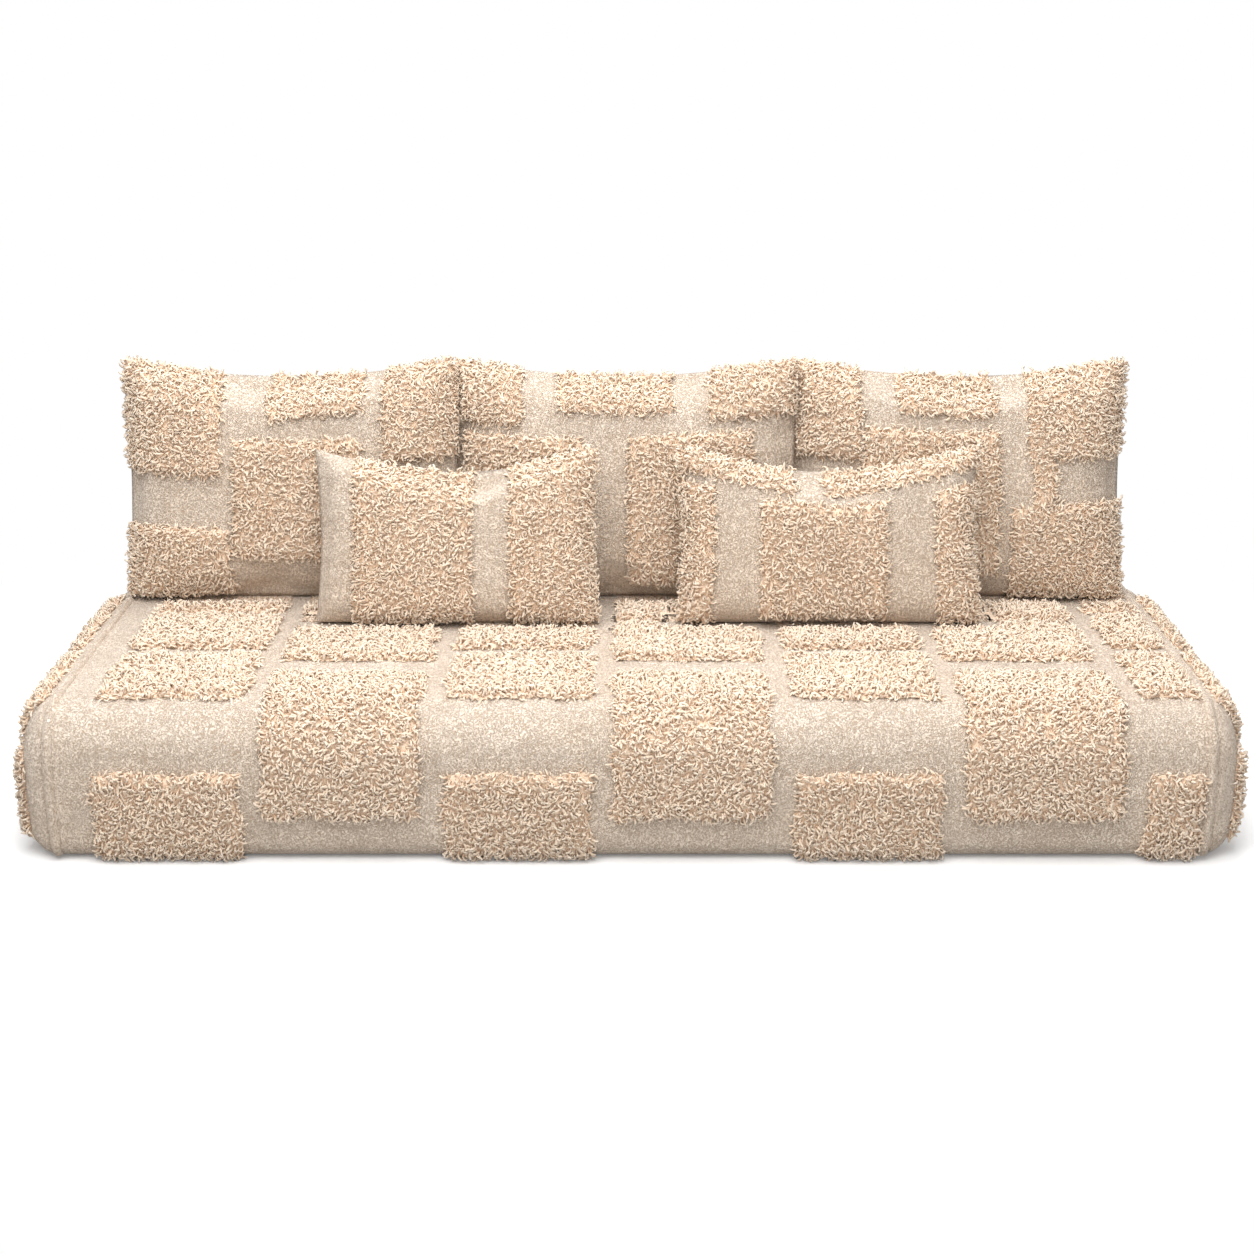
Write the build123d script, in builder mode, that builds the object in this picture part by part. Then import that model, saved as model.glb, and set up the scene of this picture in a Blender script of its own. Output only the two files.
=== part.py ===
from build123d import *
import os
from math import cos, radians, sin

os.makedirs("parts", exist_ok=True)

# Mattress cover, outside sizes
mattress_length = 1970.0
mattress_depth = 740.0
mattress_height = 255.0
side_bulge = 9.0
top_crown = 3.0
top_edge_radius = 76.0
bottom_edge_radius = 34.0
seam_to_end = 50.0
end_bulge = 7.0
end_top_radius = 70.0
end_bottom_radius = 38.0
plan_corner_radius = 84.0
corner_margin = 8.0
mattress_cloth = 3.0

# Felled seams round the two ends of the mattress
seam_band_width = 18.0
seam_band_lift = 2.5
seam_band_floor_gap = 12.0

# Cut pile tufts
pile_height = 14.0
pile_edge = 8.0
pressed_pile_height = 2.0
tuft_floor_gap = 4.0
clearance = 0.4
overrun_length = 60.0
foot_margin_length = 30.0

# Columns of tufted rectangles on the mattress, measured from its middle
tuft_repeat_length = 562.0
narrow_tuft_width = 238.0
wide_tuft_width = 254.0
least_tuft_width = 40.0
narrow_column_distance = -180.0
wide_column_distance = 99.0

# Rows of tufted rectangles, as shares of the depth of the mattress from its front edge
tuft_row_shares = (
    (0.04, 0.355),
    (0.325, 0.58),
    (0.405, 0.64),
    (0.61, 0.865),
    (0.675, 0.93),
)
front_tuft_share = 0.23
rear_tuft_share = 0.9
end_front_row_shares = (0.095, 0.405)
end_rear_row_shares = (0.45, 0.84)
end_low_row_shares = (-0.055, 0.13)

# Heights of the tufted rectangles that hang over the edges of the mattress
low_tuft_top_height = 158.0
high_tuft_foot_height = 76.0
rear_tuft_foot_height = 108.0
top_tuft_foot_height = 190.0
end_tuft_foot_height = 150.0
end_low_tuft_foot_height = 30.0
end_low_tuft_top_height = 128.0
end_tuft_gap = 14.0

# Back cushions
back_width = 600.0
back_height = 450.0
back_thickness = 156.0
back_top_dip = 28.0
back_side_dip = 16.0
back_lean_degrees = 12.0
back_seat_depth = 134.0
back_gap = 19.0
back_row_distance = -10.0
back_sink_depth = 15.0
back_foot_depth = 64.0

# Lumbar pillows
lumbar_height = 322.0
lumbar_thickness = 106.0
lumbar_top_dip = 40.0
lumbar_side_dip = 13.0
lumbar_lean_degrees = 15.0
lumbar_seat_depth = 294.0
lumbar_sink_depth = 12.0
lumbar_foot_depth = 50.0
left_lumbar_width = 505.0
left_lumbar_distance = 10.0
right_lumbar_width = 535.0
right_lumbar_distance = 54.0

# Cushion covers and their seams
cushion_cloth = 2.5
seam_half_thickness = 3.0
crown_margin_width = 90.0
crown_step_height = 14.0
edge_slope_share = 0.8

# Zips
back_zip_length = 330.0
lumbar_zip_length = 250.0
mattress_zip_length = 1500.0
mattress_zip_height = 52.0
zip_foot_gap = 62.0
tape_width = 15.0
tape_thickness = 1.8
tape_lift = 0.9
teeth_width = 3.2
teeth_height = 1.1
slider_length = 11.0
slider_width = 8.4
slider_wall = 1.5

# Derived places
half_depth = mattress_depth / 2
half_length = mattress_length / 2
seam_place = half_length - seam_to_end
band_inside = seam_place - seam_band_width
back_pitch = back_width + back_gap
back_seat = mattress_depth - back_seat_depth
lumbar_seat = mattress_depth - lumbar_seat_depth
pressed_top = mattress_height + top_crown + pressed_pile_height
rest_height = pressed_top + clearance


def edge_between(start, through, end, bow):
    """A bowed edge of an outline, or a straight one where it has no bow."""
    if bow:
        ThreePointArc(start, through, end)
    else:
        Line(start, end)


def outline(plane, across, low, high, side_bow, top_bow, top_radius, foot_radius):
    """A four-sided outline with bowed sides and top and rounded corners."""
    mid = (low + high) / 2
    with BuildSketch(plane) as shape:
        with BuildLine():
            Line((-across, low), (across, low))
            edge_between((across, low), (across + side_bow, mid), (across, high), side_bow)
            edge_between((across, high), (0, high + top_bow), (-across, high), top_bow)
            edge_between((-across, high), (-across - side_bow, mid), (-across, low), side_bow)
        make_face()
        corners = shape.vertices().sort_by(Axis.Y)
        fillet(corners[-2:], top_radius)
        fillet(corners[:2], foot_radius)
    return shape.sketch


def mattress_middle(grow, reach):
    """The profile of the mattress drawn out both ways, grown by pile or shrunk by cloth."""
    low = max(-grow, 0)
    high = mattress_height + grow
    section = outline(Plane.YZ, half_depth + grow, low, high, side_bulge, top_crown,
                      top_edge_radius + grow, bottom_edge_radius + grow)
    with BuildPart() as stretch:
        extrude(section, amount=reach, both=True)
    return stretch.part


def mattress_form(grow):
    """The whole mattress: its profile crossed with its front view and its plan."""
    low = max(-grow, 0)
    high = mattress_height + top_crown + corner_margin + grow
    front_view = outline(Plane.XZ, half_length - end_bulge + grow, low, high, end_bulge, 0,
                         end_top_radius + grow, end_bottom_radius + grow)
    side = half_depth + side_bulge + corner_margin + grow
    plan = outline(Plane.XY, half_length + corner_margin + grow, -side, side, 0, 0,
                   plan_corner_radius + grow, plan_corner_radius + grow)
    with BuildPart() as form:
        add(mattress_middle(grow, mattress_length))
        extrude(front_view, amount=mattress_depth, both=True, mode=Mode.INTERSECT)
        extrude(plan, amount=mattress_depth, both=True, mode=Mode.INTERSECT)
    return form.part


def cushion_plane(place, seat, lean):
    """The middle plane of a leaning cushion, from where it meets the mattress."""
    tilt = radians(lean)
    foot = (place, seat - half_depth, rest_height)
    return Plane(origin=foot, x_dir=(1, 0, 0), z_dir=(0, -cos(tilt), sin(tilt)))


def cushion_front(plane, across, low, high, side_dip, top_dip):
    """The front of a cushion, with pointed ears, drawn-in sides and a dipped top."""
    mid = (low + high) / 2
    left = ((-across, high), (side_dip - across, mid), (-across, low))
    right = ((across, low), (across - side_dip, mid), (across, high))
    with BuildSketch(plane) as shape:
        with BuildLine():
            Polyline(*left, *right)
            ThreePointArc(right[-1], (0, high - top_dip), left[0])
        make_face()
    return shape.sketch


def crown(plane, half_width, half_thickness, length):
    """A long lens, which gives a cushion its crown one way."""
    with BuildSketch(plane) as lens:
        with BuildLine():
            ThreePointArc((-half_width, 0), (0, half_thickness), (half_width, 0))
            ThreePointArc((half_width, 0), (0, -half_thickness), (-half_width, 0))
        make_face()
    with BuildPart() as long_lens:
        extrude(lens.sketch, amount=length, both=True)
    return long_lens.part


def cushion_form(plane, size, grow_edge, grow_face):
    """A cushion: its outline with sloped edges, crossed with a crown each way."""
    width, height, thickness, top_dip, side_dip, sink = size
    half_width = width / 2 + grow_edge
    half_height = height / 2 + grow_edge
    half_thickness = thickness / 2 + grow_face
    centre = height / 2 - sink
    front = cushion_front(plane, half_width, centre - half_height, centre + half_height,
                          side_dip, top_dip)
    middle = plane.from_local_coords((0, centre, 0))
    upright = Plane(origin=middle, x_dir=plane.y_dir, z_dir=plane.x_dir)
    level = Plane(origin=middle, x_dir=plane.x_dir, z_dir=-plane.y_dir)
    reach = half_thickness + crown_margin_width
    rise = reach - seam_half_thickness
    facing = Axis(plane.origin, plane.z_dir)
    with BuildPart() as form:
        extrude(front, amount=reach, both=True)
        for face in (form.faces().sort_by(facing)[0], form.faces().sort_by(facing)[-1]):
            chamfer(face.edges(), length=edge_slope_share * rise, length2=rise, reference=face)
        add(crown(upright, half_height + crown_margin_width, half_thickness, width), mode=Mode.INTERSECT)
        add(crown(level, half_width + crown_margin_width, half_thickness + crown_step_height, width),
            mode=Mode.INTERSECT)
    return form.part


def rested(form, above=0):
    """Cut a cushion flat where it rests on the mattress."""
    with BuildPart() as cut:
        add(form)
        split(bisect_by=Plane.XY.offset(rest_height + above), keep=Keep.TOP)
    return cut.part


def export_piece(piece, name):
    """Name a finished piece and write it."""
    piece.label = name
    export_step(piece, f"parts/{name}.step")


def tape_plane(form, near):
    """The plane of a zip tape where it lies on a cover, near a point."""
    point = form.closest_points(Vertex(*near))[0]
    face = form.faces().sort_by_distance(point)[0]
    return Plane(origin=point, x_dir=(1, 0, 0), z_dir=face.normal_at(point))


def zip_tape(plane, length):
    """The woven tape with its closed row of teeth."""
    with BuildPart() as tape:
        with BuildSketch(plane.offset(tape_lift - tape_thickness)):
            Rectangle(length, tape_width)
        extrude(amount=tape_thickness)
        with BuildSketch(plane.offset(tape_lift)):
            Rectangle(length - tape_width, teeth_width)
        extrude(amount=teeth_height)
    return tape.part


def zip_slider(plane, length):
    """The slider, which straddles the row of teeth at its closed end."""
    start = (slider_length - length + tape_width) / 2
    base = plane.offset(tape_lift + clearance)
    with BuildPart() as slider:
        with BuildSketch(base):
            with Locations((start, 0)):
                Rectangle(slider_length, slider_width)
        extrude(amount=teeth_height + slider_wall)
        with BuildSketch(base):
            with Locations((start, 0)):
                Rectangle(slider_length, teeth_width + 2 * clearance)
        extrude(amount=teeth_height, mode=Mode.SUBTRACT)
    return slider.part


def block(low, high):
    """A box between two corners, joined to the part being built."""
    size = [b - a for a, b in zip(low, high)]
    with Locations(tuple((b + a) / 2 for a, b in zip(low, high))):
        Box(*size)


def columns(distance, width):
    """Where the columns of tufted rectangles begin and end, cut off at the end seams."""
    limit = band_inside - clearance
    steps = int(mattress_length / tuft_repeat_length) + 1
    places = [distance + step * tuft_repeat_length for step in range(-steps, steps + 1)]
    cut = [(max(x - width / 2, -limit), min(x + width / 2, limit)) for x in places]
    return [(start, end) for start, end in cut if end - start > least_tuft_width]


def row(shares):
    """Where a row of tufted rectangles begins and ends across the mattress."""
    return tuple(share * mattress_depth for share in shares)


narrow = columns(narrow_column_distance, narrow_tuft_width)
wide = columns(wide_column_distance, wide_tuft_width)

# Mattress: the filling, the wrapped cover panel and its two end panels
core = mattress_form(-mattress_cloth)
export_piece(core, "mattress_core")

whole_cover = mattress_form(0)
with BuildPart() as wrap_panel:
    add(mattress_middle(0, seam_place))
    add(core, mode=Mode.SUBTRACT)
zip_place = tape_plane(wrap_panel.part, (0, half_depth + side_bulge, mattress_zip_height))
mattress_tape = zip_tape(zip_place, mattress_zip_length)
with BuildPart() as zipped_panel:
    add(wrap_panel)
    add(mattress_tape, mode=Mode.SUBTRACT)
export_piece(zipped_panel.part, "mattress_wrap_panel")
export_piece(mattress_tape, "mattress_zip_tape")
export_piece(zip_slider(zip_place, mattress_zip_length), "mattress_zip_slider")

with BuildPart() as seam_bands:
    add(mattress_middle(seam_band_lift, seam_place))
    add(mattress_middle(0, seam_place), mode=Mode.SUBTRACT)
    split(bisect_by=Plane.XY.offset(seam_band_floor_gap), keep=Keep.TOP)

for side, word, outer in ((-1, "left", Keep.BOTTOM), (1, "right", Keep.TOP)):
    with BuildPart() as end_panel:
        add(whole_cover)
        add(core, mode=Mode.SUBTRACT)
        split(bisect_by=Plane.YZ.offset(side * seam_place), keep=outer)
    export_piece(end_panel.part, f"mattress_{word}_end_panel")
    with BuildPart() as seam_band:
        add(seam_bands)
        split(bisect_by=Plane.YZ.offset(side * band_inside), keep=outer)
    export_piece(seam_band.part, f"mattress_{word}_seam_band")

# Tufts of the mattress: a skin of cut pile, kept where the rectangles are
with BuildPart() as pile_skin:
    add(mattress_form(pile_height))
    add(whole_cover, mode=Mode.SUBTRACT)

left_lumbar_place = back_row_distance - back_pitch / 2 + left_lumbar_distance
right_lumbar_place = back_row_distance + back_pitch / 2 + right_lumbar_distance
back_strip = (back_seat - back_foot_depth, back_seat + back_foot_depth)
lumbar_strip = (lumbar_seat - lumbar_foot_depth, lumbar_seat + lumbar_foot_depth)
ceiling = mattress_height + overrun_length
outer_front = -overrun_length
outer_back = mattress_depth + overrun_length


def tuft_group(name, boxes):
    """Keep the pile inside the boxes, pressed down where cushions stand on it."""
    with BuildPart() as wanted:
        for (x_low, x_high), (y_low, y_high), (z_low, z_high) in boxes:
            low = (x_low, y_low - half_depth, z_low)
            high = (x_high, y_high - half_depth, z_high)
            block(low, high)
    with BuildPart() as tufts:
        add(pile_skin)
        add(wanted, mode=Mode.INTERSECT)
        add(foot_rooms, mode=Mode.SUBTRACT)
    export_piece(tufts.part, name)


with BuildPart() as foot_rooms:
    row_reach = back_pitch + back_width / 2 + foot_margin_length
    low = (-row_reach, back_strip[0] - half_depth, pressed_top)
    high = (row_reach, back_strip[1] - half_depth, ceiling)
    block(low, high)
    for place, width in ((left_lumbar_place, left_lumbar_width),
                         (right_lumbar_place, right_lumbar_width)):
        reach = width / 2 + foot_margin_length
        low = (place - reach, lumbar_strip[0] - half_depth, pressed_top)
        high = (place + reach, lumbar_strip[1] - half_depth, ceiling)
        block(low, high)

top_heights = (top_tuft_foot_height, ceiling)
front_place = (outer_front, front_tuft_share * mattress_depth)
low_heights = (tuft_floor_gap, low_tuft_top_height)
high_heights = (high_tuft_foot_height, ceiling)
tuft_group("front_low_tufts", [(x, front_place, low_heights) for x in narrow])
tuft_group("front_high_tufts", [(x, front_place, high_heights) for x in wide])
for number, shares in enumerate(tuft_row_shares, 1):
    places = narrow if number % 2 else wide
    boxes = [(x, row(shares), top_heights) for x in places]
    tuft_group(f"top_row_{number}_tufts", boxes)
rear_place = (rear_tuft_share * mattress_depth, outer_back)
rear_heights = (rear_tuft_foot_height, ceiling)
tuft_group("rear_tufts", [(x, rear_place, rear_heights) for x in wide])
for side, word in ((-1, "left"), (1, "right")):
    near = side * (seam_place + end_tuft_gap)
    far = side * (half_length + overrun_length)
    across = (min(near, far), max(near, far))
    high_heights = (end_tuft_foot_height, ceiling)
    low_heights = (end_low_tuft_foot_height, end_low_tuft_top_height)
    end_boxes = [(across, row(end_front_row_shares), high_heights),
                 (across, row(end_rear_row_shares), high_heights),
                 (across, row(end_low_row_shares), low_heights)]
    tuft_group(f"{word}_end_tufts", end_boxes)


def cushion(name, plane, size, zip_length, tuft_shares):
    """A loose cushion: filling, zipped cover and the tufts of its front."""
    width, height, thickness, top_dip, side_dip, sink = size
    filling = rested(cushion_form(plane, size, -cushion_cloth, -cushion_cloth), cushion_cloth)
    outside = rested(cushion_form(plane, size, 0, 0))
    near_zip = plane.from_local_coords((0, zip_foot_gap - sink, -thickness / 2))
    tape_place = tape_plane(outside, near_zip)
    tape = zip_tape(tape_place, zip_length)
    with BuildPart() as cover:
        add(outside)
        add(filling, mode=Mode.SUBTRACT)
        add(tape, mode=Mode.SUBTRACT)
    with BuildPart() as rectangles:
        for left, right, low, high in tuft_shares:
            with BuildSketch(plane):
                middle = ((left + right) / 2 * width, (low + high) / 2 * height - sink)
                with Locations(middle):
                    Rectangle((right - left) * width, (high - low) * height)
            extrude(amount=thickness)
    with BuildPart() as tufts:
        add(rested(cushion_form(plane, size, pile_edge, pile_height)))
        add(rectangles, mode=Mode.INTERSECT)
        add(outside, mode=Mode.SUBTRACT)
    export_piece(filling, f"{name}_filling")
    export_piece(cover.part, f"{name}_cover")
    export_piece(tufts.part, f"{name}_tufts")
    export_piece(tape, f"{name}_zip_tape")
    export_piece(zip_slider(tape_place, zip_length), f"{name}_zip_slider")


# Tufted rectangles of each cushion front: left, right, low and high, as shares of its
# width from the middle and of its height from the bottom seam
left_back_tuft_shares = (
    (-0.55, -0.19, 0.55, 1.1),
    (-0.057, 0.245, 0.82, 1.1),
    (0.30, 0.55, 0.60, 1.1),
    (-0.157, 0.237, 0.195, 0.715),
    (-0.55, -0.167, -0.1, 0.338),
    (0.30, 0.55, -0.1, 0.338),
)
middle_back_tuft_shares = (
    (-0.55, -0.31, 0.753, 1.1),
    (-0.205, 0.147, 0.827, 1.1),
    (0.257, 0.55, 0.782, 1.1),
    (-0.477, -0.125, 0.195, 0.72),
    (0.007, 0.388, 0.073, 0.735),
)
right_back_tuft_shares = (
    (-0.55, -0.317, 0.61, 1.1),
    (-0.21, 0.10, 0.827, 1.1),
    (0.192, 0.55, 0.61, 1.1),
    (-0.312, 0.107, 0.131, 0.755),
    (0.21, 0.283, 0.40, 0.65),
    (0.143, 0.55, -0.1, 0.431),
    (-0.55, -0.38, -0.1, 0.30),
)
left_lumbar_tuft_shares = (
    (-0.365, 0.063, -0.1, 1.1),
    (0.195, 0.55, -0.1, 1.1),
)
right_lumbar_tuft_shares = (
    (-0.55, -0.11, 0.86, 1.1),
    (-0.02, 0.55, 0.88, 1.1),
    (-0.55, -0.39, -0.1, 0.815),
    (-0.235, 0.193, 0.07, 0.80),
    (0.355, 0.55, -0.1, 0.797),
)

back_size = (back_width, back_height, back_thickness, back_top_dip, back_side_dip,
             back_sink_depth)
for step, word, shares in ((-1, "left", left_back_tuft_shares),
                           (0, "middle", middle_back_tuft_shares),
                           (1, "right", right_back_tuft_shares)):
    place = back_row_distance + step * back_pitch
    back_plane = cushion_plane(place, back_seat, back_lean_degrees)
    cushion(f"{word}_back", back_plane, back_size, back_zip_length, shares)

for word, place, width, shares in (
    ("left", left_lumbar_place, left_lumbar_width, left_lumbar_tuft_shares),
    ("right", right_lumbar_place, right_lumbar_width, right_lumbar_tuft_shares),
):
    lumbar_size = (width, lumbar_height, lumbar_thickness, lumbar_top_dip,
                   lumbar_side_dip, lumbar_sink_depth)
    lumbar_plane = cushion_plane(place, lumbar_seat, lumbar_lean_degrees)
    cushion(f"{word}_lumbar", lumbar_plane, lumbar_size, lumbar_zip_length, shares)
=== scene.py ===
# %% [markdown]
# # A majlis floor sofa
# The real object is a long foam mattress that lies on the floor, with three large cushions
# in a row along its back and two smaller lumbar pillows in front of them. Every cover is a
# brushed cream cloth, and rectangles of cut pile are tufted through it in a stepped pattern.
# The solids give every size and place. Here each soft piece gets its real form, its cloth
# and its pile, and keeps to the room that its solid holds.

# %% Load the fixed frame
import math
import bmesh
import bpy
import numpy as np
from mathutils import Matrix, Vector


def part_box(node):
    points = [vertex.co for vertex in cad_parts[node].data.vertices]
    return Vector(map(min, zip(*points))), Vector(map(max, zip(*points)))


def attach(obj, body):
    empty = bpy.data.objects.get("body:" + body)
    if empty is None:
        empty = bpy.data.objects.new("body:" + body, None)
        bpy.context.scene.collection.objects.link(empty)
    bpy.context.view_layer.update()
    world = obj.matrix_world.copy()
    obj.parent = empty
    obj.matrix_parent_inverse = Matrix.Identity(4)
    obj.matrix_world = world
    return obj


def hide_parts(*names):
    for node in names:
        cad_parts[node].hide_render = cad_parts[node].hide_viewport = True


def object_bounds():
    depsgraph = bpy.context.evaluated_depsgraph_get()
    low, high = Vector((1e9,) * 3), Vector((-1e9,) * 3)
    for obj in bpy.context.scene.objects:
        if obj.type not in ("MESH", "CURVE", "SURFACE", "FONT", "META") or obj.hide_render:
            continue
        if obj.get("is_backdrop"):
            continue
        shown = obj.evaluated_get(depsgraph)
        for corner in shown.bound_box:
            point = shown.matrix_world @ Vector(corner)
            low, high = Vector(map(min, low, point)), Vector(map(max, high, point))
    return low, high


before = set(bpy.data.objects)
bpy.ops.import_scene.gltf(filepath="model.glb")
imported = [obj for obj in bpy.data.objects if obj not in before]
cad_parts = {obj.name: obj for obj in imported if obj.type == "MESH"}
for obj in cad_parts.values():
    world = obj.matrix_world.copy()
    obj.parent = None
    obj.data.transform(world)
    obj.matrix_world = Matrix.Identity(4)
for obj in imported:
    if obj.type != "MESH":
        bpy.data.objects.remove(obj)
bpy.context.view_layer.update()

# %% [markdown]
# ## The camera
# The photograph is taken from the front, a little above the sofa, with a slightly long lens.
# The lens, the height and the tilt follow from three things that can be measured in it: how
# wide the mattress is at its front edge, how wide it is at its back edge, and how high the
# cushions stand in the picture. The picture is square, 1254 pixels each way.

# %% Camera
camera_data = bpy.data.cameras.new("Camera")
camera_data.lens = 58.68
camera_data.sensor_width = 36.0
camera = bpy.data.objects.new("Camera", camera_data)
camera.location = (-0.0054, -3.39, 1.399)
camera.rotation_euler = (math.radians(71.67), 0, 0)
bpy.context.scene.collection.objects.link(camera)
bpy.context.scene.camera = camera

# %% [markdown]
# ## Small helpers
# Two helpers carry most of the work. One turns points and faces into an object. The other
# adds a node to a tree, with its settings and its inputs in one call, so that a material or
# a Geometry Nodes tree reads from top to bottom.


# %% Helpers for meshes
def in_scene(name, data):
    """A new object of the scene."""
    made = bpy.data.objects.new(name, data)
    bpy.context.scene.collection.objects.link(made)
    return made


def object_from(name, points, faces=(), edges=()):
    """A smooth mesh object with its place in its mesh."""
    mesh = bpy.data.meshes.new(name)
    mesh.from_pydata(list(map(tuple, points)), edges, list(map(tuple, faces)))
    mesh.polygons.foreach_set("use_smooth", [True] * len(mesh.polygons))
    mesh.update()
    return in_scene(name, mesh)


def plain_mesh(piece):
    """The mesh of a piece with its modifiers applied."""
    return bpy.data.meshes.new_from_object(piece.evaluated_get(bpy.context.evaluated_depsgraph_get()))


def settled(piece):
    """Applies the modifiers of a piece, so that a plain mesh is left."""
    mesh = plain_mesh(piece)
    piece.modifiers.clear()
    piece.data = mesh
    return piece


def vectors(items, key):
    """One vector of each item as an array."""
    flat = np.empty(len(items) * 3)
    items.foreach_get(key, flat)
    return flat.reshape(-1, 3)


def places(mesh):
    return vectors(mesh.vertices, "co")


def outward(mesh):
    return vectors(mesh.vertex_normals, "vector")


def set_places(mesh, points):
    mesh.vertices.foreach_set("co", np.asarray(points, float).ravel())
    mesh.update()


def store(mesh, label, values, kind="FLOAT", key="value"):
    """Writes an attribute of the points, which materials and trees read by its name."""
    attribute = mesh.attributes.new(label, kind, "POINT")
    attribute.data.foreach_set(key, np.asarray(values, np.float32).ravel())


def net_quads(index):
    """The quads of a net, from the numbers of its points."""
    return np.stack([index[:-1, :-1], index[1:, :-1], index[1:, 1:], index[:-1, 1:]], -1).reshape(-1, 4)


def smooth_step(value):
    value = np.clip(value, 0, 1)
    return value * value * (3 - 2 * value)


# %% Helpers for nodes
def feed(tree, node, inputs):
    """Sets inputs of a node to values, or links them from other nodes or their outputs."""
    for key, value in dict(inputs).items():
        if isinstance(value, bpy.types.Node):
            value = value.outputs[0]
        if isinstance(value, bpy.types.NodeSocket):
            tree.links.new(value, node.inputs[key])
        else:
            node.inputs[key].default_value = value
    return node


def put(tree, kind, inputs=(), **settings):
    """Adds a node with its settings and its inputs."""
    node = tree.nodes.new(kind)
    for key, value in settings.items():
        setattr(node, key, value)
    return feed(tree, node, inputs)


def maths(tree, operation, *values):
    return put(tree, "ShaderNodeMath", enumerate(values), operation=operation)


def vector_maths(tree, operation, *values, **named):
    return put(tree, "ShaderNodeVectorMath", {**dict(enumerate(values)), **named}, operation=operation)


def mapped(tree, value, low=0.0, high=1.0, new_low=0.0, new_high=1.0, **settings):
    """A value brought from one range to another."""
    ranges = {"From Min": low, "From Max": high, "To Min": new_low, "To Max": new_high}
    return put(tree, "ShaderNodeMapRange", {"Value": value, **ranges}, **settings)


def object_place(tree):
    return put(tree, "ShaderNodeTexCoord").outputs["Object"]


def new_socket(tree, label, kind, value=None, way="INPUT"):
    socket = tree.interface.new_socket(label, in_out=way, socket_type="NodeSocket" + kind)
    if value is not None:
        socket.default_value = value


# %% [markdown]
# ## The brushed nap
# The base cloth is a short brushed plush. Its fibres lie in locks of a few millimetres that
# swirl across the cloth, so light catches some and leaves tan shadows between them. One
# shader group makes these locks from noise on the piece's own coordinates: a slow noise
# bends the coordinates, and the lines where two finer noises pass their middle value are
# the curled locks, because such lines wander like fibres do.
# It is a group because the base cloth and the pile both use it, at their own scales.


# %% Shader group for locks of fibre
def fibre_locks_group():
    tree = bpy.data.node_groups.new("Fibre locks", "ShaderNodeTree")
    for label, value in (("Scale", 300.0), ("Swirl", 0.02), ("Patches", 9.0)):
        new_socket(tree, label, "Float", value)
    for label in ("Height", "Shade", "Patch"):
        new_socket(tree, label, "Float", way="OUTPUT")
    given = put(tree, "NodeGroupInput").outputs
    place = object_place(tree)
    slow = put(tree, "ShaderNodeTexNoise", {"Vector": place, "Scale": given["Patches"], "Detail": 2.0})
    centred = vector_maths(tree, "SUBTRACT", slow.outputs["Color"], (0.5, 0.5, 0.5))
    bent = vector_maths(tree, "ADD", place, vector_maths(tree, "SCALE", centred, Scale=given["Swirl"]))
    curls = []
    for share, shift in ((1.0, (0, 0, 0)), (1.35, (3.1, 1.7, 5.3))):
        noise = put(tree, "ShaderNodeTexNoise", {"Vector": vector_maths(tree, "ADD", bent, shift),
                    "Scale": maths(tree, "MULTIPLY", given["Scale"], share), "Detail": 1.0, "Distortion": 0.6})
        line = maths(tree, "ABSOLUTE", maths(tree, "SUBTRACT", noise, 0.5))
        curls.append(mapped(tree, line, 0.11, 0.0, interpolation_type="SMOOTHSTEP"))
    fine = put(tree, "ShaderNodeTexNoise", {"Vector": bent, "Detail": 2.0, "Roughness": 0.6,
                                            "Scale": maths(tree, "MULTIPLY", given["Scale"], 2.5)})
    feed(tree, put(tree, "NodeGroupOutput"), {"Height": maths(tree, "MAXIMUM", *curls),
         "Shade": mapped(tree, fine, 0.35, 0.65), "Patch": mapped(tree, slow, 0.35, 0.65)})
    return tree


fibre_locks = fibre_locks_group()
print("shader group", fibre_locks.name, "has", len(fibre_locks.nodes), "nodes")

# %% [markdown]
# ## The base cloth
# Cream on the tops of the locks and warm tan between them, where the tan is painted shade,
# and slightly paler or darker in broad areas where the nap was brushed one way or the other.
# A Bump node turns the same height into relief, and a little sheen gives the plush its soft bright rim.


# %% Base cloth material
white = (1, 1, 1, 1)


def new_material(name):
    made = bpy.data.materials.new(name)
    made.use_nodes = True
    tree = made.node_tree
    return made, tree, tree.nodes["Principled BSDF"]


def mixed(tree, share, first, second, blend="MIX"):
    """A colour between two colours."""
    return put(tree, "ShaderNodeMix", {0: share, 6: first, 7: second}, data_type="RGBA", blend_type=blend).outputs[2]


def bump(tree, strength, distance, height, **more):
    return put(tree, "ShaderNodeBump", {"Strength": strength, "Distance": distance, "Height": height, **more})


def locks_of(tree, **sizes):
    """The locks of fibre, at a material's own sizes."""
    return put(tree, "ShaderNodeGroup", sizes, node_tree=fibre_locks).outputs


base_cloth, tree, shader = new_material("Brushed base cloth")
locks = locks_of(tree, Scale=235.0, Swirl=0.03, Patches=11.0)
# The tan between the locks is painted shade; the cream on them is the cloth's own colour.
locks_with_painted_gap_shade = mixed(tree, locks["Height"], (0.50, 0.365, 0.255, 1), (0.90, 0.777, 0.648, 1))
brushed = mixed(tree, locks["Patch"], (0.93, 0.91, 0.89, 1), white)
feed(tree, shader, {"Base Color": mixed(tree, 1.0, locks_with_painted_gap_shade, brushed, "MULTIPLY"), "Roughness": 0.95,
                    "Specular IOR Level": 0.15, "Sheen Weight": 0.25, "Sheen Roughness": 0.6,
                    "Normal": bump(tree, 0.9, 0.0016, locks["Height"])})
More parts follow.
